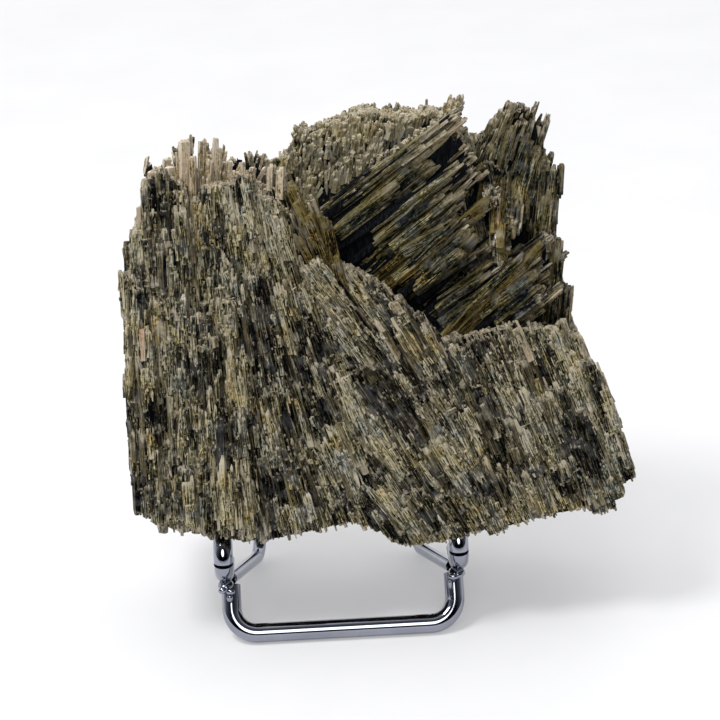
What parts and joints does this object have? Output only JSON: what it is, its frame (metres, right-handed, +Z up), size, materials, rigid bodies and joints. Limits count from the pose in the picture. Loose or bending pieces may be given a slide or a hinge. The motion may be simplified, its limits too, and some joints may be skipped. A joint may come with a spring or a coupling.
{
  "type": "epidote specimen on a wire stand",
  "caption": "Slab of intergrown bladed green mineral crystals resting upright on a small bent-wire display stand.",
  "frame": {"origin": "on the table under the middle of the stand's front bar", "axes": "+X right along the front bar, +Y from the front bar towards the back, +Z up"},
  "size_m": [0.0817, 0.0417, 0.0834],
  "materials": {
    "epidote": "olive to blackish green bladed crystal, glassy on fresh faces",
    "chrome": "bright chrome plate"
  },
  "bodies": {
    "root": {"epidote": "epidote", "chair_wire": "chrome", "front_foot": "chrome", "rear_leg": "chrome"}
  },
  "joints": []
}
